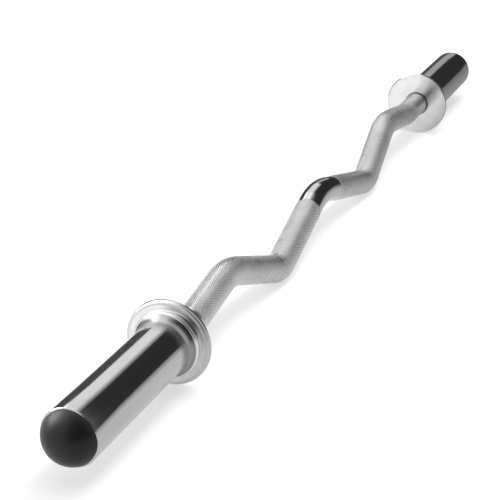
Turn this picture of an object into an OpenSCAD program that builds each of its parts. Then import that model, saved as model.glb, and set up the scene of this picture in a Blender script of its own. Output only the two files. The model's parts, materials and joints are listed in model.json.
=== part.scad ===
// Olympic EZ curl bar: a bent steel shaft with two free-turning plate sleeves.
// Millimetres, X along the bar, Z up. The origin is the middle of the bar, on the sleeve axis.
// The bar lies as it does on a floor: on its two collars and its two low bends.

/* [Shaft] */
// Diameter of the round steel shaft
shaft_diameter = 28; // [25:0.5:32]
// Distance between the inner faces of the two collars
grip_span = 770; // [720:5:860]
// Distance from the middle of the bar to each bend beside a collar, as for all bends to the corner
end_bend_at = 333; // [325:1:345]
// Distance from the middle of the bar to each high bend
high_bend_at = 250; // [240:1:260]
// Distance from the middle of the bar to each low bend
low_bend_at = 142; // [135:1:150]
// Height of the two high bends above the sleeve axis
high_bend_rise = 11.5; // [5:0.5:20]
// Depth of the two low bends under the sleeve axis
low_bend_depth = 27.8; // [26:0.1:34]
// Height of the middle bend above the sleeve axis
middle_bend_rise = 7; // [2:0.5:14]
// Centre-line radius of the bends beside the collars
end_bend_radius = 45; // [35:1:60]
// Centre-line radius of the high bends
high_bend_radius = 85; // [60:1:95]
// Centre-line radius of the low bends
low_bend_radius = 45; // [38:1:60]
// Centre-line radius of the middle bend
middle_bend_radius = 105; // [80:1:130]

/* [Shaft ends] */
// Diameter of the turned journal inside each sleeve
journal_diameter = 25; // [22:0.5:26]
// Length of shaft left outside each retaining ring
journal_tail = 5; // [3:0.5:8]
// Chamfer on the end of each journal
journal_chamfer = 1.2; // [0.5:0.1:2]
// Diameter of the turning centre in each shaft end
centre_drill_diameter = 6; // [4:0.5:8]
// Depth of the turning centre
centre_drill_depth = 5; // [3:0.5:8]

/* [Sleeve] */
// Outside diameter of the plate sleeve
sleeve_diameter = 50; // [48:0.1:51]
// Length of the sleeve from the collar to its rim
sleeve_length = 175; // [150:1:200]
// Diameter of the bore that holds the bushings
bushing_bore = 36; // [34:0.5:38]
// Diameter of the counterbore that takes the washers, the retaining ring and the cap
cap_bore = 38; // [36:0.5:40]
// Chamfer round the sleeve's rim
rim_chamfer = 0.7; // [0.3:0.1:2]
// Chamfer at the mouth of the outer bore
mouth_chamfer = 0.8; // [0.3:0.1:1.5]
// Diameter of the bead at the foot of the sleeve
bead_diameter = 61; // [57:0.5:64]
// Width of the bead along the bar
bead_width = 4.6; // [3:0.2:7]
// Rounding of the bead
bead_rounding = 1.8; // [1:0.1:2.2]
// Radius of the hollow flare between sleeve and bead
flare_radius = 14; // [8:0.5:20]

/* [Collar] */
// Diameter of the collar disc
collar_diameter = 78; // [72:0.5:84]
// Thickness of the collar disc
collar_thickness = 6; // [5:0.5:9]
// Rounding of the collar's outer edge on the plate side
collar_front_rounding = 3.4; // [2:0.1:3.6]
// Rounding of the collar's edge on the grip side
collar_back_rounding = 1.2; // [0.5:0.1:1.3]
// Gap between the shaft and the collar's hole
collar_gap = 0.8; // [0.5:0.1:1.2]
// Length of the collar's spigot inside the sleeve
spigot_length = 10; // [8:0.5:14]
// Rounding of the spigot's leading edge
spigot_rounding = 0.5; // [0.3:0.1:0.8]
// Chamfer at the mouth of the collar's hole
hole_chamfer = 0.5; // [0.3:0.1:0.8]

/* [Bushings and washers] */
// Length of each bronze bushing
bushing_length = 30; // [24:1:34]
// Chamfer on the bushings' bores
bushing_chamfer = 0.6; // [0.3:0.1:1]
// Radial clearance between journal and bushing
running_clearance = 0.05; // [0.02:0.01:0.09]
// End play of the sleeve on the shaft, at each side
end_play = 0.3; // [0.2:0.05:0.5]
// Gap between the end of the shaft and the end cap's plug
plug_gap = 8.9; // [3:0.1:14]
// Wall of the spacer tube between the bushings
spacer_wall = 2.2; // [1.5:0.1:3]
// Thickness of the inner thrust washer
inner_washer_thickness = 1.5; // [1:0.1:2]
// Thickness of the nylon thrust washer
nylon_washer_thickness = 1.5; // [1:0.1:2.5]
// Thickness of the steel backing washer
steel_washer_thickness = 2; // [1.5:0.1:3]
// Radial clearance of the washers on the journal
washer_clearance = 0.15; // [0.1:0.05:0.25]
// Radial gap round the inner washer in the collar's hole
inner_washer_gap = 0.3; // [0.3:0.05:0.5]
// Radial gap round the nylon and steel washers in the counterbore
outer_washer_gap = 2.4; // [1.5:0.1:3]

/* [Retaining ring] */
// Thickness of the retaining ring
ring_thickness = 1.2; // [1:0.1:1.5]
// Play of the retaining ring in its groove
ring_play = 0.1; // [0.05:0.05:0.2]
// Depth of the groove for the retaining ring
groove_depth = 0.55; // [0.4:0.05:0.8]
// Radial width of the retaining ring opposite its gap
ring_width = 2.9; // [2.4:0.1:3.2]
// How far the ring thins towards its gap
ring_taper = 0.35; // [0.2:0.05:0.5]
// Width of the gap between the ring's ears
ring_gap = 3.6; // [2:0.2:5]
// How far the ring's ears stand out from the groove's floor
ear_reach = 4.4; // [4:0.1:4.8]
// Radius of the ring's ears
ear_radius = 1.9; // [1.6:0.1:2.1]
// Diameter of the holes for the pliers
ear_hole_diameter = 1.6; // [1.2:0.1:2]

/* [End cap] */
// Diameter of the cap where it meets the sleeve's rim
cap_diameter = 47; // [45:0.5:47.5]
// Height of the cap outside the sleeve
cap_height = 18; // [14:0.5:20]
// Height of the straight lip under the dome
cap_lip = 1.6; // [1:0.1:2.5]
// Length of the plug inside the sleeve
plug_length = 16; // [12:0.5:18]
// Wall of the hollow plug
plug_wall = 2.6; // [2:0.1:3.5]
// Height of the plug's ribs over its wall
rib_height = 0.5; // [0.3:0.1:0.8]
// Number of ribs round the plug
rib_count = 3; // [2:1:4]

/* [View] */

/* [Hidden] */
$fn = 64;

shaft_radius = shaft_diameter / 2;
journal_radius = journal_diameter / 2;
sleeve_radius = sleeve_diameter / 2;
bushing_bore_radius = bushing_bore / 2;
cap_bore_radius = cap_bore / 2;
outer_washer_radius = cap_bore_radius - outer_washer_gap;
bead_radius = bead_diameter / 2;
collar_radius = collar_diameter / 2;
collar_hole_radius = shaft_radius + collar_gap;

// Places along one end of the bar, measured outwards from the collar's inner face.
sleeve_start = collar_thickness;
sleeve_end = sleeve_start + sleeve_length;
inner_bushing_start = collar_thickness + spigot_length;
shoulder_at = inner_bushing_start - end_play - inner_washer_thickness;
shaft_end = sleeve_end - plug_length - plug_gap;
groove_at = shaft_end - journal_tail - ring_play - ring_thickness;
steel_washer_start = groove_at - steel_washer_thickness;
nylon_washer_start = steel_washer_start - nylon_washer_thickness;
outer_bushing_end = nylon_washer_start - end_play;
outer_bushing_start = outer_bushing_end - bushing_length;
spacer_start = inner_bushing_start + bushing_length;
spacer_length = outer_bushing_start - spacer_start;
collar_face = grip_span / 2;

// The centre line of the bent shaft from shoulder to shoulder, with a bend radius at each corner.
shoulder_x = collar_face + shoulder_at;
journal_root = 2;
ear_trim = 0.3;
corners = [
    [-shoulder_x, 0], [-end_bend_at, 0], [-high_bend_at, high_bend_rise],
    [-low_bend_at, -low_bend_depth], [0, middle_bend_rise], [low_bend_at, -low_bend_depth],
    [high_bend_at, high_bend_rise], [end_bend_at, 0], [shoulder_x, 0]];
bend_radii = [
    0, end_bend_radius, high_bend_radius, low_bend_radius, middle_bend_radius,
    low_bend_radius, high_bend_radius, end_bend_radius, 0];
last_corner = len(corners) - 1;

// The shaft rolls until its low bends meet the floor that the collars stand on.
// Bends too shallow to reach that floor hang straight down.
low_point_depth = low_bend_radius - bend_centre(3)[1];
floor_drop = collar_radius - shaft_radius;
lean = acos(min(1, floor_drop / low_point_depth));
bend_plane_turn = 90 - lean;

// Straights and bends stop short of each other, and a ball a hair over their size joins them.
join_gap = 0.4;
join_half_width = 0.9;
join_ball_radius = sqrt(shaft_radius * shaft_radius + join_half_width * join_half_width);

function leg(i) = corners[i + 1] - corners[i];
function heading(i) = atan2(leg(i)[1], leg(i)[0]);
function along(i) = [cos(heading(i)), sin(heading(i))];
function across(i) = [-sin(heading(i)), cos(heading(i))];
function turn(i) = heading(i) - heading(i - 1);
function setback(i) = i == 0 || i == last_corner ? 0 : bend_radii[i] * tan(abs(turn(i)) / 2);
function bend_start(i) = corners[i] - along(i - 1) * setback(i);
function bend_end(i) = corners[i] + along(i) * setback(i);
function side(i) = turn(i) > 0 ? 1 : -1;
function bend_centre(i) = bend_start(i) + across(i - 1) * bend_radii[i] * side(i);
function gap_turn(i) = join_gap / bend_radii[i] * 180 / PI;
function sweep_from(i) = (turn(i) > 0 ? heading(i - 1) - 90 : heading(i) + 90) + gap_turn(i);

module at_right_end() {
    translate([collar_face, 0, 0]) rotate([0, 90, 0]) children();
}

module at_left_end() {
    mirror([1, 0, 0]) at_right_end() children();
}

// A washer or tube from one radius to another, standing on z = start.
module tube(inner_radius, outer_radius, start, length) {
    translate([0, 0, start]) rotate_extrude()
        translate([inner_radius, 0]) square([outer_radius - inner_radius, length]);
}

// One straight length of the shaft, from just past one bend to just before the next.
module straight(i) {
    first_gap = i == 0 ? 0 : join_gap;
    last_gap = i == last_corner - 1 ? 0 : join_gap;
    start = corners[i] + along(i) * (setback(i) + first_gap);
    length = norm(leg(i)) - setback(i) - setback(i + 1) - first_gap - last_gap;
    translate([start[0], start[1], 0]) rotate([0, 0, heading(i)]) rotate([0, 90, 0])
        cylinder(h = length, r = shaft_radius);
}

// One bend of the shaft, a true arc with a joining ball at each end.
module bend(i) {
    translate([bend_centre(i)[0], bend_centre(i)[1], 0]) rotate([0, 0, sweep_from(i)])
        rotate_extrude(angle = abs(turn(i)) - 2 * gap_turn(i))
            translate([bend_radii[i], 0]) circle(r = shaft_radius);
    for (p = [bend_start(i), bend_end(i)])
        translate([p[0], p[1], 0]) sphere(r = join_ball_radius);
}

// The turned end of the shaft: journal, groove, chamfer and turning centre.
module shaft_end_solid() {
    difference() {
        union() {
            translate([0, 0, shoulder_at - journal_root])
                cylinder(h = shaft_end - journal_chamfer - shoulder_at + journal_root, r = journal_radius);
            translate([0, 0, shaft_end - journal_chamfer])
                cylinder(h = journal_chamfer, r1 = journal_radius, r2 = journal_radius - journal_chamfer);
        }
        tube(journal_radius - groove_depth, journal_radius + 1, groove_at, ring_thickness + ring_play);
        translate([0, 0, shaft_end - centre_drill_depth])
            cylinder(h = centre_drill_depth, r1 = 0, r2 = centre_drill_diameter / 2);
    }
}

module shaft() {
    color([0.63, 0.64, 0.65]) union() {
        rotate([bend_plane_turn, 0, 0]) union() {
            for (i = [0 : last_corner - 1]) straight(i);
            for (i = [1 : last_corner - 1]) bend(i);
        }
        at_right_end() shaft_end_solid();
        at_left_end() shaft_end_solid();
    }
}

// A square corner less its quarter circle, to be cut from a section. It points along +x, +y.
module corner_waste(r) {
    difference() {
        square([r + 1, r + 1]);
        circle(r = r);
    }
}

// Half section of the sleeve: radius across, distance from the collar up.
module sleeve_section() {
    edge_rounding = min(bead_rounding, bead_width / 2);
    flare_rise = bead_radius - edge_rounding - sleeve_radius;
    flare_run = sqrt(flare_radius * flare_radius - pow(flare_radius - flare_rise, 2));
    step_at = outer_bushing_end - sleeve_start;
    difference() {
        union() {
            square([sleeve_radius, sleeve_length]);
            difference() {
                square([bead_radius, bead_width]);
                translate([bead_radius - edge_rounding, bead_width - edge_rounding])
                    corner_waste(edge_rounding);
                translate([bead_radius - edge_rounding, edge_rounding])
                    mirror([0, 1]) corner_waste(edge_rounding);
            }
            difference() {
                translate([sleeve_radius - 1, bead_width]) square([flare_rise + 1, flare_run]);
                translate([sleeve_radius + flare_radius, bead_width + flare_run])
                    circle(r = flare_radius, $fn = 128);
            }
        }
        square([cap_bore_radius, sleeve_length]);
        square([bushing_bore_radius, step_at]);
        polygon([[sleeve_radius - rim_chamfer, sleeve_length], [sleeve_radius, sleeve_length - rim_chamfer],
            [sleeve_radius + 1, sleeve_length - rim_chamfer], [sleeve_radius + 1, sleeve_length + 1],
            [sleeve_radius - rim_chamfer, sleeve_length + 1]]);
        polygon([[cap_bore_radius + mouth_chamfer, sleeve_length + 1],
            [cap_bore_radius + mouth_chamfer, sleeve_length],
            [cap_bore_radius, sleeve_length - mouth_chamfer], [0, sleeve_length - mouth_chamfer],
            [0, sleeve_length + 1]]);
    }
}

module sleeve_solid() {
    translate([0, 0, sleeve_start]) rotate_extrude() sleeve_section();
}

// Half section of the collar: a disc with a spigot that is pressed into the sleeve.
module collar_section() {
    spigot_end = collar_thickness + spigot_length;
    difference() {
        union() {
            square([collar_radius, collar_thickness]);
            square([bushing_bore_radius, spigot_end]);
        }
        translate([collar_radius - collar_front_rounding, collar_thickness - collar_front_rounding])
            corner_waste(collar_front_rounding);
        translate([collar_radius - collar_back_rounding, collar_back_rounding])
            mirror([0, 1]) corner_waste(collar_back_rounding);
        translate([bushing_bore_radius - spigot_rounding, spigot_end - spigot_rounding])
            corner_waste(spigot_rounding);
        square([collar_hole_radius, spigot_end + 1]);
        polygon([[0, 0], [collar_hole_radius + hole_chamfer, 0],
            [collar_hole_radius, hole_chamfer], [0, hole_chamfer]]);
    }
}

module collar_solid() {
    rotate_extrude() collar_section();
}

// A bronze bushing with a chamfer at each end of its bore.
module bushing_solid(start) {
    bore_radius = journal_radius + running_clearance;
    translate([0, 0, start]) rotate_extrude()
        polygon([[bore_radius, bushing_chamfer], [bore_radius + bushing_chamfer, 0],
            [bushing_bore_radius, 0], [bushing_bore_radius, bushing_length],
            [bore_radius + bushing_chamfer, bushing_length],
            [bore_radius, bushing_length - bushing_chamfer]]);
}

module spacer_solid() {
    tube(bushing_bore_radius - spacer_wall, bushing_bore_radius, spacer_start, spacer_length);
}

module inner_washer_solid() {
    tube(journal_radius + washer_clearance, collar_hole_radius - inner_washer_gap,
        shoulder_at, inner_washer_thickness);
}

module nylon_washer_solid() {
    tube(journal_radius + washer_clearance, outer_washer_radius,
        nylon_washer_start, nylon_washer_thickness);
}

module steel_washer_solid() {
    tube(journal_radius + washer_clearance, outer_washer_radius,
        steel_washer_start, steel_washer_thickness);
}

// The retaining ring: an open ring that thins towards two ears with plier holes.
module retaining_ring_solid() {
    groove_radius = journal_radius - groove_depth;
    ear_at = groove_radius + ear_reach - ear_radius;
    ear_turn = asin((ring_gap / 2 + ear_radius - ear_trim) / ear_at);
    translate([0, 0, groove_at]) linear_extrude(height = ring_thickness)
        difference() {
            union() {
                translate([-ring_taper, 0]) circle(r = groove_radius + ring_width - ring_taper);
                for (s = [-1, 1]) rotate([0, 0, s * ear_turn])
                    translate([ear_at, 0]) circle(r = ear_radius, $fn = 48);
            }
            circle(r = groove_radius);
            translate([0, -ring_gap / 2]) square([ear_at + 2 * ear_radius, ring_gap]);
            for (s = [-1, 1]) rotate([0, 0, s * ear_turn])
                translate([ear_at, 0]) circle(d = ear_hole_diameter, $fn = 32);
        }
}

// Half section of the end cap: a domed head on a hollow ribbed plug.
module cap_section() {
    cap_radius = cap_diameter / 2;
    dome_height = cap_height - cap_lip;
    dome_radius = (cap_radius * cap_radius + dome_height * dome_height) / (2 * dome_height);
    plug_radius = cap_bore_radius - rib_height;
    rib_step = plug_length / (rib_count + 1);
    difference() {
        union() {
            intersection() {
                translate([0, cap_lip]) square([cap_radius, dome_height]);
                translate([0, cap_height - dome_radius]) circle(r = dome_radius, $fn = 128);
            }
            square([cap_radius, cap_lip]);
            translate([0, -plug_length]) square([plug_radius, plug_length]);
            for (k = [1 : rib_count])
                translate([plug_radius, -k * rib_step]) circle(r = rib_height, $fn = 32);
        }
        translate([0, -plug_length]) square([plug_radius - plug_wall, plug_length + cap_lip]);
    }
}

module cap_solid() {
    translate([0, 0, sleeve_end]) rotate_extrude() intersection() {
        cap_section();
        translate([0, -plug_length]) square([sleeve_diameter, plug_length + cap_height]);
    }
}

module left_sleeve() { color([0.80, 0.81, 0.82]) at_left_end() sleeve_solid(); }
module right_sleeve() { color([0.80, 0.81, 0.82]) at_right_end() sleeve_solid(); }
module left_collar() { color([0.72, 0.73, 0.74]) at_left_end() collar_solid(); }
module right_collar() { color([0.72, 0.73, 0.74]) at_right_end() collar_solid(); }
module left_inner_bushing() { color([0.71, 0.53, 0.28]) at_left_end() bushing_solid(inner_bushing_start); }
module right_inner_bushing() { color([0.71, 0.53, 0.28]) at_right_end() bushing_solid(inner_bushing_start); }
module left_outer_bushing() { color([0.71, 0.53, 0.28]) at_left_end() bushing_solid(outer_bushing_start); }
module right_outer_bushing() { color([0.71, 0.53, 0.28]) at_right_end() bushing_solid(outer_bushing_start); }
module left_spacer_tube() { color([0.55, 0.56, 0.58]) at_left_end() spacer_solid(); }
module right_spacer_tube() { color([0.55, 0.56, 0.58]) at_right_end() spacer_solid(); }
module left_inner_washer() { color([0.60, 0.61, 0.63]) at_left_end() inner_washer_solid(); }
module right_inner_washer() { color([0.60, 0.61, 0.63]) at_right_end() inner_washer_solid(); }
module left_nylon_washer() { color([0.88, 0.87, 0.83]) at_left_end() nylon_washer_solid(); }
module right_nylon_washer() { color([0.88, 0.87, 0.83]) at_right_end() nylon_washer_solid(); }
module left_steel_washer() { color([0.60, 0.61, 0.63]) at_left_end() steel_washer_solid(); }
module right_steel_washer() { color([0.60, 0.61, 0.63]) at_right_end() steel_washer_solid(); }
module left_retaining_ring() { color([0.25, 0.25, 0.27]) at_left_end() retaining_ring_solid(); }
module right_retaining_ring() { color([0.25, 0.25, 0.27]) at_right_end() retaining_ring_solid(); }
module left_end_cap() { color([0.06, 0.06, 0.06]) at_left_end() cap_solid(); }
module right_end_cap() { color([0.06, 0.06, 0.06]) at_right_end() cap_solid(); }

shaft();
left_sleeve();
right_sleeve();
left_collar();
right_collar();
left_inner_bushing();
right_inner_bushing();
left_outer_bushing();
right_outer_bushing();
left_spacer_tube();
right_spacer_tube();
left_inner_washer();
right_inner_washer();
left_nylon_washer();
right_nylon_washer();
left_steel_washer();
right_steel_washer();
left_retaining_ring();
right_retaining_ring();
left_end_cap();
right_end_cap();
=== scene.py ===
import json
import math

import bmesh
import bpy
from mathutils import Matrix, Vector


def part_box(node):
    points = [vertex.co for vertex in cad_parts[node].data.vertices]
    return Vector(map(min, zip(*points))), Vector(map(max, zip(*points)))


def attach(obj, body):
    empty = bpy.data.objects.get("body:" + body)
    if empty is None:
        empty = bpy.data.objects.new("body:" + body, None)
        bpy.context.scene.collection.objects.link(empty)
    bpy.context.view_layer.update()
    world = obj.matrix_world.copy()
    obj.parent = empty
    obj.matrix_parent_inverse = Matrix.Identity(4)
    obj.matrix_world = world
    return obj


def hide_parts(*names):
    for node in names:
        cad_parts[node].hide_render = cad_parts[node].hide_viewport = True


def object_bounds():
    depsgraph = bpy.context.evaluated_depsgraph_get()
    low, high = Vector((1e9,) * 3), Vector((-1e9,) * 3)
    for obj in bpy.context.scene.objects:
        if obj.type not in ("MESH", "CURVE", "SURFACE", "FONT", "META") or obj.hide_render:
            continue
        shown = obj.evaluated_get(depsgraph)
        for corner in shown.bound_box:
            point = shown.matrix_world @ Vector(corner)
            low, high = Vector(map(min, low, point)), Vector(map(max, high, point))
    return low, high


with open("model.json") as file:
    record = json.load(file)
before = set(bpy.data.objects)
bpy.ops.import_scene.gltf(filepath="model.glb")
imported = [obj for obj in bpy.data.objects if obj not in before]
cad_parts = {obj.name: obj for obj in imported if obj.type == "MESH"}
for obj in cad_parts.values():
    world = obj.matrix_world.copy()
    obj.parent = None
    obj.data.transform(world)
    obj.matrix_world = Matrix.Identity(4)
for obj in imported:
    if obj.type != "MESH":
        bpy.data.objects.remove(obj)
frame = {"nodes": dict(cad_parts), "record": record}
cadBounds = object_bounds()

mm = 0.001  # the frame is in metres, the sizes below are in millimetres


# Node trees

class Wire:  # one output socket; sums on it add Math nodes
    def __init__(self, graph, socket):
        self.graph = graph
        self.socket = socket

    def math(self, operation, *others):
        return self.graph.math(operation, self, *others)

    def output(self, name):
        return Wire(self.graph, self.socket.node.outputs[name])

    def __add__(self, other):
        return self.graph.math("ADD", self, other)

    def __sub__(self, other):
        return self.graph.math("SUBTRACT", self, other)

    def __rsub__(self, other):
        return self.graph.math("SUBTRACT", other, self)

    def __mul__(self, other):
        return self.graph.math("MULTIPLY", self, other)

    def __truediv__(self, other):
        return self.graph.math("DIVIDE", self, other)


class Graph:  # a node tree, and the one method that adds a node to it
    def __init__(self, tree):
        self.tree = tree
        tree.nodes.clear()

    def node(self, kind, settings=None, sockets=None, output=0):
        made = self.tree.nodes.new(kind)
        for name, value in (settings or {}).items():
            if name == "captures":
                for item in value:
                    made.capture_items.new("FLOAT", item)
            else:
                setattr(made, name, value)
        for key, value in (sockets or {}).items():
            if isinstance(value, Wire):
                self.tree.links.new(value.socket, made.inputs[key])
            else:
                made.inputs[key].default_value = value
        return Wire(self, made.outputs[output]) if made.outputs else None

    def math(self, operation, *values):
        return self.node("ShaderNodeMath", {"operation": operation}, dict(enumerate(values)))

    def step(self, value, start, end):  # smooth rise from 0 to 1
        return self.node("ShaderNodeMapRange", {"interpolation_type": "SMOOTHSTEP"},
                         {"Value": value, "From Min": start, "From Max": end})

    def spread(self, value, low, high, start=0.0, end=1.0):  # straight line from low to high
        return self.node("ShaderNodeMapRange", {},
                         {"Value": value, "From Min": start, "From Max": end, "To Min": low, "To Max": high})

    def noise(self, place, scale, detail=2.0, roughness=0.5):
        return self.node("ShaderNodeTexNoise", {},
                         {"Vector": place, "Scale": scale, "Detail": detail, "Roughness": roughness})

    def mixColour(self, factor, first, second):
        return self.node("ShaderNodeMix", {"data_type": "RGBA"}, {0: factor, 6: first, 7: second}, output=2)

    def place(self):  # the piece's own coordinates: its place in the frame
        return self.node("ShaderNodeTexCoord").output("Object")

    def axes(self, place):
        return self.node("ShaderNodeSeparateXYZ", {}, {0: place})

    def fromAxis(self, split):  # distance from the sleeves' axis
        y = split.output("Y")
        z = split.output("Z")
        return (y * y + z * z).math("SQRT")

    def stretched(self, place, x, y, z):
        return self.node("ShaderNodeVectorMath", {"operation": "MULTIPLY"}, {0: place, 1: (x, y, z)})

    def toward(self, direction, way):  # 1 where the two point the same way, 0 across
        return self.node("ShaderNodeVectorMath", {"operation": "DOT_PRODUCT"},
                         {0: direction, 1: way}, output="Value")

    def rays(self):  # the camera's own rays, and those that shiny surfaces send out
        path = self.node("ShaderNodeLightPath")
        shiny = path.output("Is Glossy Ray") + path.output("Is Transmission Ray")
        return path.output("Is Camera Ray"), shiny.math("MINIMUM", 1.0)

    def close(self, tone, roughness, height, metallic=1.0, shine=0.5):  # height: of the surface, in metres
        normal = self.node("ShaderNodeBump", {}, {"Height": height, "Distance": 1.0, "Strength": 1.0})
        shader = self.node("ShaderNodeBsdfPrincipled", {}, {
            "Base Color": tone, "Metallic": metallic, "Roughness": roughness,
            "Specular IOR Level": shine, "Normal": normal})
        self.node("ShaderNodeOutputMaterial", {}, {"Surface": shader})


def newMaterial(name):
    material = bpy.data.materials.new(name)
    material.use_nodes = True
    return material, Graph(material.node_tree)


def grey(level, warmth=0.0):
    return (level * (1 + warmth), level, level * (1 - warmth), 1.0)


# Materials

knurlLook = {
    "starts": 44,              # grooves round the bar, in each direction
    "axialPitch": 2.9 * mm,    # from one groove to the next along the bar
    "depth": 0.36 * mm,
    "crest": 0.78,             # how much of each pyramid's height is left under its flat top
    "crestGrey": 0.97,
    # painted shade: the knurl's grooves are coloured far darker than its crests, for the shade that falls in
    # them
    "grooveGrey": 0.12,
    "flankFades": (0.02, 0.40),    # heights between which the grooves' painted shade turns into the crests' grey
    "wornGrey": 0.8342,
    "wornShare": 0.35,         # how far rubbed places turn into the worn grey
    "blotchScale": 38.0,       # of the cloudy patches where the crests are rubbed
    "rubFades": (0.42, 0.66),
    "knurlRoughness": 0.28,
    "blotchRoughness": 0.06,   # how much the roughness varies from patch to patch
    "polishRoughness": 0.08,
    "polishGrey": 0.60,
    "turnedRoughness": 0.34,   # beside the collars
    "turnedGrey": 0.70,
    "lineScales": (5.0, 900.0, 900.0),     # fine lines along the polished steel
    "lineHeight": 0.002 * mm,
    "edge": 0.2 * mm,          # the knurl begins and ends within this
}


def knurledSteel(look, sizes):
    material, graph = newMaterial("knurledShaftSteel")
    uv = graph.node("ShaderNodeUVMap", {"uv_map": "grip"})
    split = graph.axes(uv)
    around = split.output("X") * look["starts"]
    along = split.output("Y")
    fromMiddle = (along - sizes["pathLength"] * mm / 2).math("ABSOLUTE")
    edge = look["edge"]
    knurlStart = sizes["polishedHalf"] * mm
    knurlEnd = sizes["knurlEnd"] * mm
    pastPolish = graph.step(fromMiddle, knurlStart, knurlStart + edge)
    knurled = pastPolish * (1 - graph.step(fromMiddle, knurlEnd, knurlEnd + edge))

    left = around + along / look["axialPitch"]
    right = around - along / look["axialPitch"]
    pyramid = left.math("PINGPONG", 0.5).math("MINIMUM", right.math("PINGPONG", 0.5)) * 2
    flatTop = pyramid.math("MINIMUM", look["crest"])

    place = graph.place()
    blotch = graph.noise(place, look["blotchScale"], 3.0, 0.6)
    rub = graph.step(blotch, *look["rubFades"])
    lines = graph.noise(graph.stretched(place, *look["lineScales"]), 1.0, 2.0)

    # painted shade: the lower a spot lies in the knurl, the darker its colour
    flank = graph.step(flatTop, *look["flankFades"])
    knurlTone = graph.mixColour(flank, grey(look["grooveGrey"]), grey(look["crestGrey"]))
    wornTone = graph.mixColour(rub * look["wornShare"], knurlTone, grey(look["wornGrey"], 0.01))
    atEnds = graph.step(fromMiddle, knurlEnd - edge, knurlEnd)
    smoothTone = graph.mixColour(atEnds, grey(look["polishGrey"]), grey(look["turnedGrey"]))
    tone = graph.mixColour(knurled, smoothTone, wornTone)
    smoothRoughness = graph.spread(atEnds, look["polishRoughness"], look["turnedRoughness"])
    roughness = smoothRoughness + knurled * (look["knurlRoughness"] - smoothRoughness)
    roughness = roughness + (blotch - 0.5) * look["blotchRoughness"]
    height = flatTop * knurled * look["depth"] + lines * (1 - knurled) * look["lineHeight"]
    graph.close(tone, roughness, height)
    return material


chromeLook = {
    "grey": 0.60,
    "edgeGrey": 0.55,
    "roughness": 0.105,
    "hazeRoughness": 0.14,
    # painted shade: the flare is coloured darker than the polished sleeve, standing in for the dark
    # reflections on it
    "flareGrey": 0.34,
    "cornerGrey": 0.27,        # painted shade where the flare meets the bead
    "flareRoughness": 0.30,
    "flareFades": (12.0 * mm, 30.0 * mm),  # from the collar to where the satin and the flare's painted shade wane and the polish begins
    "beadEnds": 4.6 * mm,      # from the collar to where the flare begins
    "beadEdge": 0.3 * mm,
    "cornerWidth": 3.5 * mm,
    # painted highlight: the bead is coloured paler than the sleeve, for the bright band of light along it
    "beadGrey": 0.86,
    "beadRoughness": 0.18,
    "hazeScales": (9.0, 40.0, 40.0),
    "hazeFades": (0.35, 0.68),
    "hazeRoughnessFades": (0.4, 0.75),
    "slideScales": (14.0, 700.0, 700.0),   # of the marks where plates slide on
    "slideHeight": 0.0006 * mm,
    "turningScales": (2600.0, 2600.0, 1.0),
    "turningHeight": 0.0012 * mm,
}


def sleeveChrome(look):
    material, graph = newMaterial("sleeveChrome")
    place = graph.place()
    split = graph.axes(place)
    radius = graph.fromAxis(split)
    ringPlace = graph.node("ShaderNodeCombineXYZ", {}, {"X": split, "Y": radius})
    haze = graph.noise(graph.stretched(place, *look["hazeScales"]), 1.0, 3.0, 0.6)
    slide = graph.noise(graph.stretched(place, *look["slideScales"]), 1.0, 2.0)
    turning = graph.noise(graph.stretched(ringPlace, *look["turningScales"]), 1.0, 2.0)
    hazy = graph.step(haze, *look["hazeFades"])
    tone = graph.mixColour(hazy, grey(look["grey"]), grey(look["edgeGrey"], 0.006))
    fromCollar = split.output("X").math("ABSOLUTE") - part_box("right_sleeve")[0].x
    beadEnds = look["beadEnds"]
    beadEdge = look["beadEdge"]
    satinAndShade = 1 - graph.step(fromCollar, *look["flareFades"])
    bead = 1 - graph.step(fromCollar, beadEnds - beadEdge, beadEnds + beadEdge)
    # painted shade in the corner where the flare meets the bead
    corner = 1 - graph.step(fromCollar, beadEnds, beadEnds + look["cornerWidth"])
    # painted shade: the flare's colour is darkened
    tone = graph.mixColour(satinAndShade, tone, grey(look["flareGrey"]))
    tone = graph.mixColour(corner, tone, grey(look["cornerGrey"]))
    # painted highlight on the bead
    tone = graph.mixColour(bead, tone, grey(look["beadGrey"]))
    dull = graph.step(haze, *look["hazeRoughnessFades"])
    roughness = graph.spread(dull, look["roughness"], look["hazeRoughness"])
    roughness = roughness + satinAndShade * (look["flareRoughness"] - roughness)
    roughness = roughness + bead * (look["beadRoughness"] - roughness)
    height = turning * look["turningHeight"] + slide * look["slideHeight"]
    graph.close(tone, roughness, height)
    return material


collarLook = {
    "grey": 0.80,
    "darkGrey": 0.71,
    "shoulderGrey": 0.66,      # painted shade on the rounding on the plate side
    # painted shade: the rim's colour is darker, to dim the highlight on its rounding
    "rimGrey": 0.56,
    "faceRoughness": 0.20,
    "shoulderRoughness": 0.44,
    "rimRoughness": 0.18,
    "rimFades": (0.6 * mm, 0.2 * mm),        # inside the rim's radius
    "shoulderFades": (4.4 * mm, 3.4 * mm),   # behind the face that the plates lie against
    "shoulderRadii": (4.0 * mm, 3.2 * mm),   # inside the rim's radius
    "cloudScale": 55.0,
    "cloudFades": (0.38, 0.66),
    "cloudRoughness": 0.08,
    "ringScales": (4200.0, 4200.0, 1.0),     # of the fine rings that the lathe tool leaves
    "ringFades": (0.35, 0.7),
    "ringShare": 0.3,
    "ringGrey": 0.864,
    "ringHeight": 0.024 * mm,
    "rimSmoothing": 0.8,       # how far the rings fade on the rim
}


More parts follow.
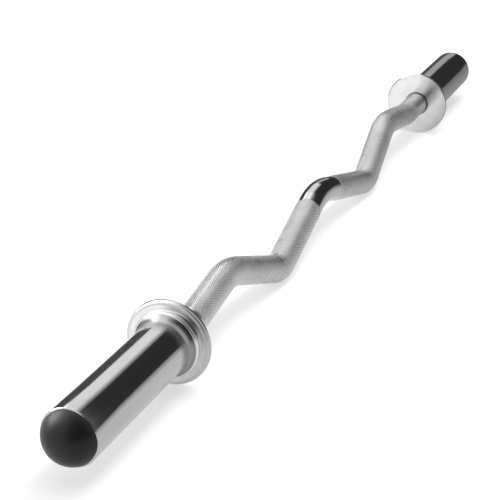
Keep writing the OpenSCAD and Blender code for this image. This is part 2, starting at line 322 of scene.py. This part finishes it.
def turnedSteel(name, look, rimRadius, plateFace):
    material, graph = newMaterial(name)
    place = graph.place()
    split = graph.axes(place)
    radius = graph.fromAxis(split)
    ringPlace = graph.node("ShaderNodeCombineXYZ", {}, {"X": split, "Y": radius})
    rings = graph.noise(graph.stretched(ringPlace, *look["ringScales"]), 1.0, 1.0, 0.5)
    cloud = graph.noise(place, look["cloudScale"], 3.0, 0.55)
    rim = graph.step(radius, *[rimRadius - inside for inside in look["rimFades"]])
    fromMiddle = split.output("X").math("ABSOLUTE")
    shoulder = graph.step(radius, *[rimRadius - inside for inside in look["shoulderRadii"]])
    shoulder = shoulder * graph.step(fromMiddle, *[plateFace - behind for behind in look["shoulderFades"]])
    cloudy = graph.step(cloud, *look["cloudFades"])
    tone = graph.mixColour(cloudy, grey(look["grey"]), grey(look["darkGrey"]))
    ringed = graph.step(rings, *look["ringFades"]) * look["ringShare"]
    tone = graph.mixColour(ringed, tone, grey(look["ringGrey"]))
    # painted shade on the rounding at the plate side
    tone = graph.mixColour(shoulder, tone, grey(look["shoulderGrey"]))
    # painted shade on the rim
    tone = graph.mixColour(rim, tone, grey(look["rimGrey"]))
    roughness = graph.spread(shoulder, look["faceRoughness"], look["shoulderRoughness"])
    roughness = roughness + rim * (look["rimRoughness"] - roughness) + (cloud - 0.5) * look["cloudRoughness"]
    height = rings * (1 - rim * look["rimSmoothing"]) * look["ringHeight"]
    graph.close(tone, roughness, height)
    return material


capLook = {
    "black": 0.004,
    "worn": 0.007,
    "cloudScale": 60.0,
    "cloudFades": (0.35, 0.7),
    "roughnesses": (0.35, 0.46),
    "shine": 0.38,
    "scuffScales": (260.0, 900.0, 260.0),
    "scuffFades": (0.60, 0.72),
    "scuffGrey": 0.0126,
    "scuffShare": 0.25,
    "scuffRoughness": 0.08,
    "grainScale": 2600.0,
    "grainHeight": 0.02 * mm,
}


def capPlastic(look):
    material, graph = newMaterial("blackCapPlastic")
    place = graph.place()
    grain = graph.noise(place, look["grainScale"], 2.0, 0.6)
    cloud = graph.noise(place, look["cloudScale"], 4.0, 0.6)
    scuff = graph.noise(graph.stretched(place, *look["scuffScales"]), 1.0, 3.0, 0.7)
    scuff = graph.step(scuff, *look["scuffFades"])
    tone = graph.mixColour(graph.step(cloud, *look["cloudFades"]), grey(look["black"]), grey(look["worn"]))
    tone = graph.mixColour(scuff * look["scuffShare"], tone, grey(look["scuffGrey"]))
    roughness = graph.spread(cloud, *look["roughnesses"]) + scuff * look["scuffRoughness"]
    graph.close(tone, roughness, grain * look["grainHeight"], metallic=0.0, shine=look["shine"])
    return material


innerLook = {
    "oiledBronze": {"colour": (0.62, 0.40, 0.17, 1.0), "dark": (0.36, 0.21, 0.09, 1.0), "metallic": 1.0,
                    "roughness": 0.34},
    "plainTurnedSteel": {"colour": grey(0.56), "dark": grey(0.40), "metallic": 1.0, "roughness": 0.32},
    "naturalNylon": {"colour": (0.80, 0.78, 0.71, 1.0), "dark": (0.70, 0.68, 0.61, 1.0), "metallic": 0.0,
                     "roughness": 0.5},
    "phosphatedSpring": {"colour": grey(0.055), "dark": grey(0.028), "metallic": 0.6, "roughness": 0.42},
}

innerGrain = {
    "ringScales": (1500.0, 60.0, 60.0),
    "ringHeight": 0.004 * mm,
    "roughnesses": (-0.06, 0.08),      # added to each finish's own, from ring to ring
    "cloudScale": 120.0,
    "cloudFades": (0.4, 0.7),
}


def innerFinish(name, look, grain):
    material, graph = newMaterial(name)
    place = graph.place()
    rings = graph.noise(graph.stretched(place, *grain["ringScales"]), 1.0, 2.0)
    cloud = graph.noise(place, grain["cloudScale"], 4.0, 0.6)
    tone = graph.mixColour(graph.step(cloud, *grain["cloudFades"]), look["colour"], look["dark"])
    smooth, rough = grain["roughnesses"]
    roughness = graph.spread(rings, look["roughness"] + smooth, look["roughness"] + rough)
    graph.close(tone, roughness, rings * grain["ringHeight"], metallic=look["metallic"])
    return material


# Meshes

def addPiece(name, mesh, material, body, slot, *replaced):
    piece = bpy.data.objects.new(name, mesh)
    bpy.context.scene.collection.objects.link(piece)
    mesh.materials.append(material)
    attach(piece, body)
    if replaced:
        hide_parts(*replaced)
    return piece


def finishMesh(mesh, sharpAngle=32.0):
    build = bmesh.new()
    build.from_mesh(mesh)
    bmesh.ops.recalc_face_normals(build, faces=build.faces)
    build.to_mesh(mesh)
    build.free()
    mesh.polygons.foreach_set("use_smooth", [True] * len(mesh.polygons))
    mesh.set_sharp_from_angle(angle=math.radians(sharpAngle))
    mesh.update()


def arc(centre, radius, startAngle, endAngle, steps):  # places along the bar and out from it
    points = []
    for k in range(steps + 1):
        angle = math.radians(startAngle + (endAngle - startAngle) * k / steps)
        points.append((centre[0] + radius * math.cos(angle), centre[1] + radius * math.sin(angle)))
    return points


def turned(name, outline, side, start, segments):  # turns an outline round the bar's axis
    places = []
    rings = []
    for distance, radius in outline:
        x = side * (start + distance * mm)
        if radius < 1e-6:
            rings.append([len(places)])
            places.append((x, 0.0, 0.0))
            continue
        rings.append(list(range(len(places), len(places) + segments)))
        for k in range(segments):
            angle = 2 * math.pi * k / segments
            places.append((x, radius * mm * math.cos(angle), radius * mm * math.sin(angle)))
    pairs = list(zip(rings, rings[1:]))
    if len(rings[0]) > 1 and len(rings[-1]) > 1:
        pairs.append((rings[-1], rings[0]))
    faces = []
    for first, second in pairs:
        if len(first) == 1 and len(second) == 1:
            continue
        for k in range(segments):
            after = (k + 1) % segments
            if len(first) == 1:
                faces.append((first[0], second[after], second[k]))
            elif len(second) == 1:
                faces.append((first[k], first[after], second[0]))
            else:
                faces.append((first[k], first[after], second[after], second[k]))
    mesh = bpy.data.meshes.new(name)
    mesh.from_pydata(places, [], faces)
    finishMesh(mesh)
    return mesh


# The bent shaft

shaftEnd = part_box("shaft")[1].x
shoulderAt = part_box("right_inner_washer")[0].x
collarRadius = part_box("right_collar")[1].z / mm

shaftSizes = {
    "radius": 14.0,
    "endBendAt": 333.0,
    "highBendAt": 250.0,
    "lowBendAt": 142.0,
    "highRise": 11.5,
    "lowDepth": 27.8,
    "middleRise": 7.0,
    "endBendRadius": 45.0,
    "highBendRadius": 85.0,
    "lowBendRadius": 45.0,
    "middleBendRadius": 105.0,
    "polishedHalf": 36.5,      # from the middle of the bar to the knurl, along the shaft
    "knurlEnd": 353.4,         # from the middle to where the knurl stops short of the collar
    "knurlEdge": 0.3,          # length of the step between them
    "polishDrop": 0.12,        # how far the polished steel lies under the crests of the knurl
    "facets": 112,
    "degreesAStation": 1.5,
    "longestStation": 9.0,
    "sharpAngle": 50.0,
}


def shaftCentreLine(sizes, shoulder):
    half = [(sizes["lowBendAt"], -sizes["lowDepth"], sizes["lowBendRadius"]),
            (sizes["highBendAt"], sizes["highRise"], sizes["highBendRadius"]),
            (sizes["endBendAt"], 0.0, sizes["endBendRadius"])]
    middle = [(0.0, sizes["middleRise"], sizes["middleBendRadius"])]
    left = [(-x, rise, radius) for x, rise, radius in reversed(half)]
    corners = [(-shoulder, 0.0, 0.0)] + left + middle + half + [(shoulder, 0.0, 0.0)]
    spots = [Vector((x, rise)) for x, rise, radius in corners]
    headings = []
    for first, second in zip(spots, spots[1:]):
        leg = second - first
        headings.append(math.atan2(leg.y, leg.x))

    stations = [spots[0]]
    lowest = 0.0
    for k in range(1, len(corners) - 1):
        radius = corners[k][2]
        bend = headings[k] - headings[k - 1]
        back = radius * math.tan(abs(bend) / 2)
        way = Vector((math.cos(headings[k - 1]), math.sin(headings[k - 1])))
        bendStart = spots[k] - way * back
        addStraight(stations, bendStart, sizes["longestStation"])
        centre = bendStart + Vector((-way.y, way.x)) * math.copysign(radius, bend)
        lowest = min(lowest, centre.y - radius if bend > 0 else 0.0)
        steps = max(2, math.ceil(abs(math.degrees(bend)) / sizes["degreesAStation"]))
        for step in range(1, steps + 1):
            angle = headings[k - 1] + bend * step / steps
            outward = Vector((math.sin(angle), -math.cos(angle))) * math.copysign(radius, bend)
            stations.append(centre + outward)
    addStraight(stations, spots[-1], sizes["longestStation"])
    return stations, -lowest


def addStraight(stations, end, longest):
    start = stations[-1]
    steps = max(1, math.ceil((end - start).length / longest))
    for step in range(1, steps + 1):
        stations.append(start.lerp(end, step / steps))


def addStationsAt(stations, distances):  # extra stations at places measured along the shaft
    for distance in distances:
        travelled = 0.0
        for k in range(1, len(stations)):
            leg = (stations[k] - stations[k - 1]).length
            if travelled + leg > distance:
                share = (distance - travelled) / leg
                if 0.01 < share < 0.99:
                    stations.insert(k, stations[k - 1].lerp(stations[k], share))
                break
            travelled += leg


def sweptShaftTree():  # sweeps a round section along the centre line and lays the knurl's UV map on it
    tree = bpy.data.node_groups.new("sweptShaft", "GeometryNodeTree")
    graph = Graph(tree)
    face = tree.interface
    face.new_socket("Centre line", in_out="INPUT", socket_type="NodeSocketGeometry")
    for name in ("Shaft radius", "Polish drop", "Polished half", "Knurl end", "Path length", "Edge"):
        face.new_socket(name, in_out="INPUT", socket_type="NodeSocketFloat")
    face.new_socket("Facets", in_out="INPUT", socket_type="NodeSocketInt")
    face.new_socket("Steel", in_out="INPUT", socket_type="NodeSocketMaterial")
    face.new_socket("Shaft", in_out="OUTPUT", socket_type="NodeSocketGeometry")
    given = graph.node("NodeGroupInput")

    rail = graph.node("GeometryNodeMeshToCurve", {}, {"Mesh": given})
    travelled = graph.node("GeometryNodeSplineParameter").output("Length")
    rail = graph.node("GeometryNodeCaptureAttribute", {"captures": ["along"]}, {0: rail, 1: travelled})
    along = rail.output("along")

    section = graph.node("GeometryNodeCurvePrimitiveCircle", {},
                         {"Resolution": given.output("Facets"), "Radius": given.output("Shaft radius")})
    turn = graph.node("GeometryNodeSplineParameter").output("Factor")
    section = graph.node("GeometryNodeCaptureAttribute", {"captures": ["around"]}, {0: section, 1: turn})
    around = section.output("around")

    tube = graph.node("GeometryNodeCurveToMesh", {},
                      {"Curve": rail, "Profile Curve": section, "Fill Caps": True})

    fromMiddle = (along - given.output("Path length") / 2).math("ABSOLUTE")
    edge = given.output("Edge")
    knurlStart = given.output("Polished half")
    knurlEnd = given.output("Knurl end")
    inside = graph.step(fromMiddle, knurlStart, knurlStart + edge)
    outside = graph.step(fromMiddle, knurlEnd, knurlEnd + edge)
    polished = 1 - inside * (1 - outside)
    normal = graph.node("GeometryNodeInputNormal")
    drop = graph.node("ShaderNodeVectorMath", {"operation": "SCALE"},
                      {0: normal, "Scale": 0 - polished * given.output("Polish drop")})
    tube = graph.node("GeometryNodeSetPosition", {}, {"Geometry": tube, "Offset": drop})

    meanTurn = graph.node("GeometryNodeFieldOnDomain", {"data_type": "FLOAT", "domain": "FACE"}, {0: around})
    pastSeam = (meanTurn - around).math("GREATER_THAN", 0.25)  # the last facet, where the turn starts again
    uv = graph.node("ShaderNodeCombineXYZ", {}, {"X": around + pastSeam, "Y": along})
    tube = graph.node("GeometryNodeStoreNamedAttribute", {"data_type": "FLOAT2", "domain": "CORNER"},
                      {"Geometry": tube, "Name": "grip", "Value": uv})
    tube = graph.node("GeometryNodeRealizeInstances", {}, {"Geometry": tube})
    tube = graph.node("GeometryNodeSetMaterial", {}, {"Geometry": tube, "Material": given.output("Steel")})
    graph.node("NodeGroupOutput", {}, {0: tube})
    return tree


def applyTree(piece, tree, values):  # runs a tree on a piece and keeps the plain mesh that it makes
    modifier = piece.modifiers.new(tree.name, "NODES")
    modifier.node_group = tree
    for item in tree.interface.items_tree:
        if item.in_out == "INPUT" and item.name in values:
            modifier[item.identifier] = values[item.name]
    depsgraph = bpy.context.evaluated_depsgraph_get()
    depsgraph.update()
    made = bpy.data.meshes.new_from_object(piece.evaluated_get(depsgraph), preserve_all_data_layers=True,
                                           depsgraph=depsgraph)
    piece.modifiers.clear()
    piece.data = made
    made.name = piece.name


def makeBentShaft(sizes):
    stations, lowestCentre = shaftCentreLine(sizes, shoulderAt / mm)
    pathLength = sum((b - a).length for a, b in zip(stations, stations[1:]))
    sizes["pathLength"] = pathLength
    edge = sizes["knurlEdge"]
    marks = []
    for mark in (sizes["polishedHalf"], sizes["knurlEnd"]):
        for share in (-0.5, 0.0, 0.5, 1.0, 1.5):
            marks.append(mark + edge * share)
    addStationsAt(stations, [pathLength / 2 + mark for mark in marks])
    addStationsAt(stations, [pathLength / 2 - mark for mark in marks])

    # The bar rolls about its sleeves until the low bends lie on the floor that the collars stand on.
    lean = math.acos(min(1.0, (collarRadius - sizes["radius"]) / lowestCentre))
    places = [(p.x * mm, p.y * math.sin(lean) * mm, p.y * math.cos(lean) * mm) for p in stations]
    line = bpy.data.meshes.new("bentShaft")
    line.from_pydata(places, [(k, k + 1) for k in range(len(places) - 1)], [])
    piece = bpy.data.objects.new("bentShaft", line)
    bpy.context.scene.collection.objects.link(piece)
    steel = knurledSteel(knurlLook, sizes)
    applyTree(piece, sweptShaftTree(), {
        "Shaft radius": sizes["radius"] * mm, "Polish drop": sizes["polishDrop"] * mm,
        "Polished half": sizes["polishedHalf"] * mm, "Knurl end": sizes["knurlEnd"] * mm,
        "Path length": pathLength * mm, "Edge": edge * mm, "Facets": sizes["facets"], "Steel": steel})
    finishMesh(piece.data, sizes["sharpAngle"])
    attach(piece, "bar")
    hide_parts("shaft")
    return piece


bentShaft = makeBentShaft(shaftSizes)
print("bent shaft:", len(bentShaft.data.polygons), "faces, path", round(shaftSizes["pathLength"], 1), "mm")


# The turned ends of the shaft, inside the sleeves

journalSizes = {
    "radius": 12.5,
    "chamfer": 1.2,
    "grooveDepth": 0.55,
    "grooveWidth": 1.3,
    "centreRadius": 3.0,
    "centreDepth": 5.0,
    "overlap": 2.0,            # how far it reaches into the shaft
    "segments": 96,
}


def makeJournal(name, side, material, sizes):
    length = (shaftEnd - shoulderAt) / mm
    groove = (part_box("right_retaining_ring")[0].x - shoulderAt) / mm
    grooveEnd = groove + sizes["grooveWidth"]
    radius = sizes["radius"]
    grooveRadius = radius - sizes["grooveDepth"]
    chamfer = sizes["chamfer"]
    outline = [(-sizes["overlap"], 0.0), (-sizes["overlap"], radius),
               (groove, radius), (groove, grooveRadius), (grooveEnd, grooveRadius), (grooveEnd, radius),
               (length - chamfer, radius), (length, radius - chamfer),
               (length, sizes["centreRadius"]), (length - sizes["centreDepth"], 0.0)]
    mesh = turned(name, outline, side, shoulderAt, sizes["segments"])
    return addPiece(name, mesh, material, "bar", "shaft_steel")


# Sleeves, collars and caps

sleeveSizes = {
    "beadWidth": 4.6,
    "beadRounding": 1.8,
    "flareRadius": 14.0,
    "rimChamfer": 0.7,
    "mouthChamfer": 0.8,
    "capBore": 19.0,           # radius of the bore that takes the cap
    "edgeRounding": 0.25,
    "faceBand": 6.0,           # width of the outer ring on the face against the collar
    "segments": 192,
}


def makeSleeve(name, side, body, node, material, sizes):
    low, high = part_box("right_sleeve")
    start = low.x
    length = (high.x - low.x) / mm
    beadRadius = high.z / mm
    radius = frame["record"]["mounts"][0]["dims"]["r_mm"]
    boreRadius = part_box("right_outer_bushing")[1].z / mm
    step = (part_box("right_outer_bushing")[1].x - start) / mm
    capBore = sizes["capBore"]
    rounding = sizes["beadRounding"]
    rise = beadRadius - rounding - radius
    flare = sizes["flareRadius"]
    run = math.sqrt(flare ** 2 - (flare - rise) ** 2)
    flareAngle = math.degrees(math.asin(run / flare))
    edge = sizes["edgeRounding"]
    outline = [(0.0, boreRadius), (0.0, beadRadius - rounding - sizes["faceBand"])]
    outline += arc((rounding, beadRadius - rounding), rounding, 180, 90, 8)
    outline += arc((sizes["beadWidth"] - rounding, beadRadius - rounding), rounding, 90, 0, 8)
    outline += arc((sizes["beadWidth"] + run, radius + flare), flare, 270 - flareAngle, 270, 14)
    for share in (0.25, 0.5, 0.75):
        outline.append((sizes["beadWidth"] + run + share * (length - run - sizes["beadWidth"]), radius))
    outline += arc((length - sizes["rimChamfer"] - edge, radius - edge), edge, 90, 45, 3)
    outline += arc((length - edge, radius - sizes["rimChamfer"] - edge), edge, 45, 0, 3)
    outline += [(length, capBore + sizes["mouthChamfer"]), (length - sizes["mouthChamfer"], capBore),
                (step, capBore), (step, boreRadius)]
    mesh = turned(name, outline, side, start, sizes["segments"])
    return addPiece(name, mesh, material, body, "sleeve_chrome", node)


collarSizes = {
    "frontRounding": 3.4,
    "backRounding": 1.2,
    "holeRadius": 14.8,
    "holeChamfer": 0.5,
    "spigotRounding": 0.5,
    "thickness": 6.0,
    "faceBand": 10.0,          # width of the outer ring on the face towards the grip
    "segments": 192,
}


def makeCollar(name, side, body, node, material, sizes):
    low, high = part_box("right_collar")
    radius = high.z / mm
    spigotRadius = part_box("right_inner_bushing")[1].z / mm
    spigotEnd = (high.x - low.x) / mm
    spigotRounding = sizes["spigotRounding"]
    front, back = sizes["frontRounding"], sizes["backRounding"]
    outline = [(0.0, sizes["holeRadius"] + sizes["holeChamfer"]), (0.0, radius - back - sizes["faceBand"])]
    outline += arc((back, radius - back), back, 180, 90, 8)
    outline += arc((sizes["thickness"] - front, radius - front), front, 90, 0, 12)
    outline += [(sizes["thickness"], spigotRadius)]
    outline += arc((spigotEnd - spigotRounding, spigotRadius - spigotRounding), spigotRounding, 90, 0, 4)
    outline += [(spigotEnd, sizes["holeRadius"]), (sizes["holeChamfer"], sizes["holeRadius"])]
    mesh = turned(name, outline, side, low.x, sizes["segments"])
    return addPiece(name, mesh, material, body, "collar_steel", node)


capSizes = {
    "lip": 1.6,                # height of the straight rim under the dome
    "edgeRounding": 0.35,
    "ribHeight": 0.5,
    "ribCount": 3,
    "plugWall": 2.6,           # the plug is hollow
    "poleAngle": 2.0,          # from the dome's pole to its first ring
    "segments": 144,
}


def makeCap(name, side, body, node, material, sizes):
    low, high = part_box("right_end_cap")
    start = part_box("right_sleeve")[1].x
    radius = high.z / mm
    height = (high.x - start) / mm
    plugLength = (start - low.x) / mm
    domeHeight = height - sizes["lip"]
    domeRadius = (radius ** 2 + domeHeight ** 2) / (2 * domeHeight)
    rimAngle = math.degrees(math.asin(radius / domeRadius))
    plugRadius = sleeveSizes["capBore"] - sizes["ribHeight"]
    edge = sizes["edgeRounding"]
    outline = [(height, 0.0)]
    outline += arc((height - domeRadius, 0.0), domeRadius, sizes["poleAngle"], rimAngle, 34)
    outline += arc((edge, radius - edge), edge, 90, 180, 4)
    outline += [(0.0, plugRadius)]
    ribStep = plugLength / (sizes["ribCount"] + 1)
    for k in range(1, sizes["ribCount"] + 1):
        outline += arc((-k * ribStep, plugRadius), sizes["ribHeight"], 0, 180, 8)
    outline += [(-plugLength, plugRadius), (-plugLength, plugRadius - sizes["plugWall"]),
                (sizes["lip"], plugRadius - sizes["plugWall"]), (sizes["lip"], 0.0)]
    mesh = turned(name, outline, side, start, sizes["segments"])
    return addPiece(name, mesh, material, body, "cap_plastic", node)


chrome = sleeveChrome(chromeLook)
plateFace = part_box("right_collar")[0].x + collarSizes["thickness"] * mm
collarSteel = turnedSteel("turnedCollarSteel", collarLook, collarRadius * mm, plateFace)
beyondJournal = 1.0  # a metre, so that no rim or shoulder shows on the journals
journalSteel = turnedSteel("turnedJournalSteel", collarLook, beyondJournal, beyondJournal)
capBlack = capPlastic(capLook)
for word, side in (("left", -1), ("right", 1)):
    makeJournal(word + "Journal", side, journalSteel, journalSizes)
    spinner = word + "_spinner"
    makeSleeve(word + "PlateSleeve", side, spinner, word + "_sleeve", chrome, sleeveSizes)
    makeCollar(word + "StopCollar", side, spinner, word + "_collar", collarSteel, collarSizes)
    makeCap(word + "DomeCap", side, spinner, word + "_end_cap", capBlack, capSizes)
print("journals, sleeves, collars and caps made")

innerNodes = {
    "oiledBronze": ("inner_bushing", "outer_bushing"),
    "plainTurnedSteel": ("spacer_tube", "inner_washer", "steel_washer"),
    "naturalNylon": ("nylon_washer",),
    "phosphatedSpring": ("retaining_ring",),
}
for finishName, ends in innerNodes.items():
    finish = innerFinish(finishName, innerLook[finishName], innerGrain)
    for end in ends:
        for word in ("left", "right"):
            node = frame["nodes"][word + "_" + end]
            node.data.materials.clear()
            node.data.materials.append(finish)
print("bushings, washers and rings finished")


# Camera, floor and light

cameraLook = {
    "place": (-1.41918, -0.48407, 0.54282),
    "yaw": 21.661,
    "pitch": -21.95,
    "lens": 106.635,
    "sensorWidth": 36.0,
    "nearest": 0.02,
    "farthest": 60.0,
}


def makeCamera(look):
    data = bpy.data.cameras.new("photoCamera")
    data.lens = look["lens"]
    data.sensor_width = look["sensorWidth"]
    data.clip_start = look["nearest"]
    data.clip_end = look["farthest"]
    camera = bpy.data.objects.new("photoCamera", data)
    camera.location = look["place"]
    camera.rotation_euler = (math.radians(90 + look["pitch"]), 0.0, math.radians(look["yaw"] - 90))
    bpy.context.scene.collection.objects.link(camera)
    bpy.context.scene.camera = camera


stageLook = {
    "floorHalf": 14.0,
    "floorGrey": 0.80,
    "floorGlow": (0.46, 0.73),       # lifts the lit floor to white for the camera, near the bar and far off
    "floorFades": (0.8, 2.2),
    "sweepGlow": 0.46,               # how bright shiny surfaces see the floor at the near end of the bar
    "sweepFades": (-0.3, 0.9),       # where along the bar that wanes
    "sweepEnd": 0.35,                # and what share of it is left past the far end
    "front": 0.70,                   # share of it on the camera's side of the bar
    "fronts": (-0.03, 0.01),
    "paperGlow": 0.28,               # a glowing stretch of floor that only reflections see: a painted reflection for the far collar
    "paperStarts": (-0.05, 0.12),
    "paperEnds": (0.42, 0.60),
    "roomGrey": 0.035,               # what shiny surfaces see of the room above the floor
    "wallGrey": 0.95,                # and of the pale wall behind the camera, on its left
    "wallWay": (-0.55, 0.70, 0.46),
    "wallFades": (0.42, 0.72),
    "sideGrey": 0.95,                # and of the room beside the bar, by how far a ray runs along it
    "sideFades": (0.0, 0.25, 0.56, 0.71),
    "horizonFades": (0.83, 0.92),    # the line where the floor ends is darker for rays that run along the bar
    "horizonEnd": 0.16,
    "horizonHeight": 0.05,
    "glint": {"way": (0.547, 0.677, 0.492), "fades": (0.970, 0.995), "glow": 4.0},  # a small bright window
    "fill": 0.46,                    # the even light of the room on matte surfaces
    "over": {"from": -1.6, "to": 1.9, "turn": 10.5, "away": 1.5, "width": 0.62, "radiance": 2.3},
    "softboxes": {                   # turn: round the bar from straight up, below 0 away from the camera
        "long": {"from": -1.0, "to": 2.1, "turn": -32.0, "away": 1.2, "width": 0.86, "radiance": 1.04},
        "far": {"from": 2.1, "to": 5.6, "turn": -50.0, "away": 1.2, "width": 1.22, "radiance": 0.45},
        "key": {"from": -1.05, "to": 0.05, "turn": -58.0, "away": 1.7, "width": 1.0, "radiance": 6.5},
    },
    "softEdge": {"from": -1.0, "to": 2.1, "turns": (-12.4, 4.6), "away": 1.2, "slices": 6,
                 "radiances": (0.95, 0.08)},
    "card": ((-0.38, 0.24, 0.22), (0.45, 0.24, 0.22), (0.50, 0.05, 0.08), (4.0, 0.05, 0.08)),
    "cardGlow": 0.09,
}


def makeFloor(look, level):
    half = look["floorHalf"]
    mesh = bpy.data.meshes.new("studioFloor")
    corners = [(-half, -half, level), (half, -half, level), (half, half, level), (-half, half, level)]
    mesh.from_pydata(corners, [], [(0, 1, 2, 3)])
    floor = bpy.data.objects.new("studioFloor", mesh)
    bpy.context.scene.collection.objects.link(floor)
    material, graph = newMaterial("paleFloor")
    seen, shiny = graph.rays()
    place = graph.place()
    away = graph.node("ShaderNodeVectorMath", {"operation": "LENGTH"}, {0: place}, output="Value")
    floorGlow = graph.spread(graph.step(away, *look["floorFades"]), *look["floorGlow"])
    split = graph.axes(place)
    along = split.output("X")
    behind = graph.step(split.output("Y"), *look["fronts"])
    sweep = graph.spread(graph.step(along, *look["sweepFades"]), 1.0, look["sweepEnd"])
    sweep = sweep * graph.spread(behind, look["front"], 1.0)
    # painted reflection: a glowing stretch of floor that only shiny rays see
    paintedReflection = graph.step(along, *look["paperStarts"]) * (1 - graph.step(along, *look["paperEnds"])) * behind
    # painted shade for shiny rays: the floor's colour darkens to black and its glow wanes along the bar, in
    # reflections only
    tone = graph.mixColour(shiny * (1 - sweep), grey(look["floorGrey"]), grey(0.0))
    matte = graph.node("ShaderNodeBsdfDiffuse", {}, {"Color": tone})
    mirrored = sweep * look["sweepGlow"] + paintedReflection * look["paperGlow"]
    strength = seen * floorGlow + shiny * mirrored
    glow = graph.node("ShaderNodeEmission", {}, {"Color": grey(1.0), "Strength": strength})
    lit = graph.node("ShaderNodeAddShader", {}, {0: matte, 1: glow})
    clear = graph.node("ShaderNodeBsdfTransparent")
    under = graph.node("ShaderNodeNewGeometry").output("Backfacing")
    surface = graph.node("ShaderNodeMixShader", {}, {0: under, 1: lit, 2: clear})
    graph.node("ShaderNodeOutputMaterial", {}, {"Surface": surface})
    mesh.materials.append(material)


def makeRoom(look):
    world = bpy.data.worlds.new("studioRoom")
    world.use_nodes = True
    bpy.context.scene.world = world
    graph = Graph(world.node_tree)
    seen, shiny = graph.rays()
    direction = graph.node("ShaderNodeTexCoord").output("Generated")
    split = graph.axes(direction)
    ahead = split.output("X")
    facing = graph.step(graph.toward(direction, look["wallWay"]), *look["wallFades"])
    room = graph.spread(facing, look["roomGrey"], look["wallGrey"])
    sideStart, sideFull, sideWanes, sideEnd = look["sideFades"]
    side = graph.step(ahead, sideStart, sideFull) * (1 - graph.step(ahead, sideWanes, sideEnd))
    room = room.math("MAXIMUM", side * look["sideGrey"])
    glint = look["glint"]
    room = room + graph.step(graph.toward(direction, glint["way"]), *glint["fades"]) * glint["glow"]
    horizon = graph.spread(graph.step(ahead, *look["horizonFades"]), 1.0, look["horizonEnd"])
    wall = graph.spread(graph.step(split.output("Z"), 0.0, look["horizonHeight"]), horizon, room)
    strength = seen + (1 - seen) * (shiny * wall + (1 - shiny) * look["fill"])
    light = graph.node("ShaderNodeBackground", {}, {"Color": grey(1.0), "Strength": strength})
    graph.node("ShaderNodeOutputWorld", {}, {"Surface": light})


def makeSoftbox(name, look, mirrored=True):  # mirrored: seen in the steel, and no light on the floor
    turn = math.radians(look["turn"])
    data = bpy.data.lights.new(name, "AREA")
    data.shape = "RECTANGLE"
    data.size = look["to"] - look["from"]
    data.size_y = look["width"]
    data.energy = look["radiance"] * math.pi * data.size * data.size_y
    lamp = bpy.data.objects.new(name, data)
    middle = (look["from"] + look["to"]) / 2
    lamp.location = (middle, -math.sin(turn) * look["away"], math.cos(turn) * look["away"])
    lamp.rotation_euler = (turn, 0.0, 0.0)
    lamp.visible_camera = False
    lamp.visible_glossy = mirrored
    lamp.visible_diffuse = not mirrored
    bpy.context.scene.collection.objects.link(lamp)


def makeSoftEdge(name, look):  # narrow lamps side by side, each dimmer than the last
    start, end = look["turns"]
    bright, dim = look["radiances"]
    slices = look["slices"]
    step = (end - start) / slices
    for k in range(slices):
        share = (k + 0.5) / slices
        makeSoftbox(name + str(k), {"from": look["from"], "to": look["to"], "away": look["away"],
                                    "turn": start + (k + 0.5) * step,
                                    "width": 2 * look["away"] * math.tan(math.radians(step / 2)),
                                    "radiance": bright + (dim - bright) * share})


def makeCard(look, level):  # a dark card that gives the polished steel its dark edge
    mesh = bpy.data.meshes.new("darkCard")
    places = []
    for x, y, height in look["card"]:
        places += [(x, y, level), (x, y, level + height)]
    faces = [(k, k + 2, k + 3, k + 1) for k in range(0, len(places) - 2, 2)]
    mesh.from_pydata(places, [], faces)
    card = bpy.data.objects.new("darkCard", mesh)
    material, graph = newMaterial("darkCardFelt")
    felt = graph.node("ShaderNodeEmission", {}, {"Color": grey(1.0), "Strength": look["cardGlow"]})
    graph.node("ShaderNodeOutputMaterial", {}, {"Surface": felt})
    mesh.materials.append(material)
    card.visible_camera = False
    card.visible_diffuse = False
    card.visible_shadow = False
    bpy.context.scene.collection.objects.link(card)


floorLevel = cadBounds[0].z
makeCamera(cameraLook)
makeFloor(stageLook, floorLevel)
makeRoom(stageLook)
for softboxName, softboxLook in stageLook["softboxes"].items():
    makeSoftbox(softboxName + "Softbox", softboxLook)
makeSoftEdge("softEdge", stageLook["softEdge"])
makeSoftbox("overheadSoftbox", stageLook["over"], mirrored=False)
makeCard(stageLook, floorLevel)
bpy.context.scene.view_settings.view_transform = "Standard"
print("camera, floor and light set")
